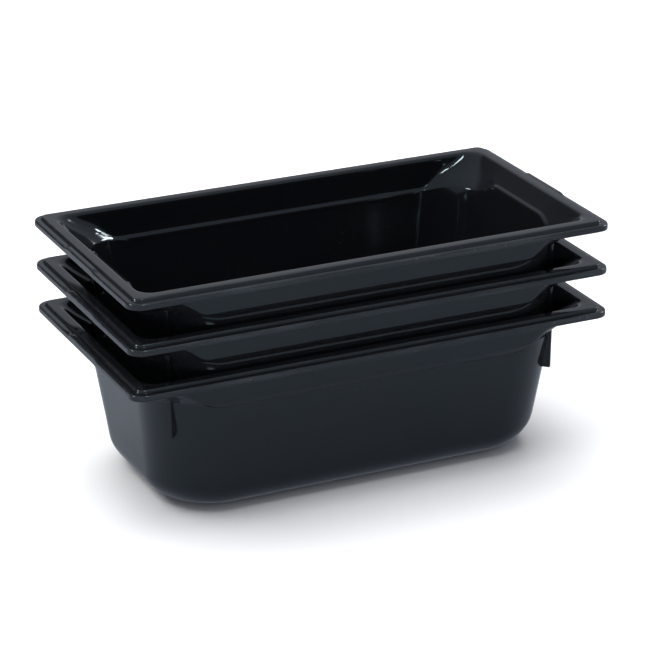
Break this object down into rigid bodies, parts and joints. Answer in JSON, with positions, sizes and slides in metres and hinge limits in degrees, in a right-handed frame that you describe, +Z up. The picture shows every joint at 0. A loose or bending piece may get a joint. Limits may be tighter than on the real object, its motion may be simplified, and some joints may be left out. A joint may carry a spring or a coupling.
{
  "type": "deli food pan nest",
  "caption": "Nested third-size deli food pans, 100 mm deep, in glossy black plastic, with stepped turned-down rims, corner funnels, tapered walls and stacking ribs.",
  "frame": {"origin": "centre of the bottom pan's flat underside, on the surface that the nest stands on", "axes": "+X along the pans' long side, +Y across them, +Z up out of the open mouths"},
  "size_m": [0.325, 0.176, 0.1584],
  "materials": {
    "black_plastic": "glossy injection-moulded black plastic"
  },
  "bodies": {
    "pan_bottom": {"pan_bottom": "black_plastic"},
    "pan_middle": {"pan_middle": "black_plastic"},
    "pan_top": {"pan_top": "black_plastic"}
  },
  "joints": [
    {"name": "middle_pan_lift", "type": "slide", "parent": "pan_bottom", "child": "pan_middle", "axis": [0, 0, 1], "range_m": [0, 0.1]},
    {"name": "top_pan_lift", "type": "slide", "parent": "pan_middle", "child": "pan_top", "axis": [0, 0, 1], "range_m": [0, 0.1]}
  ]
}
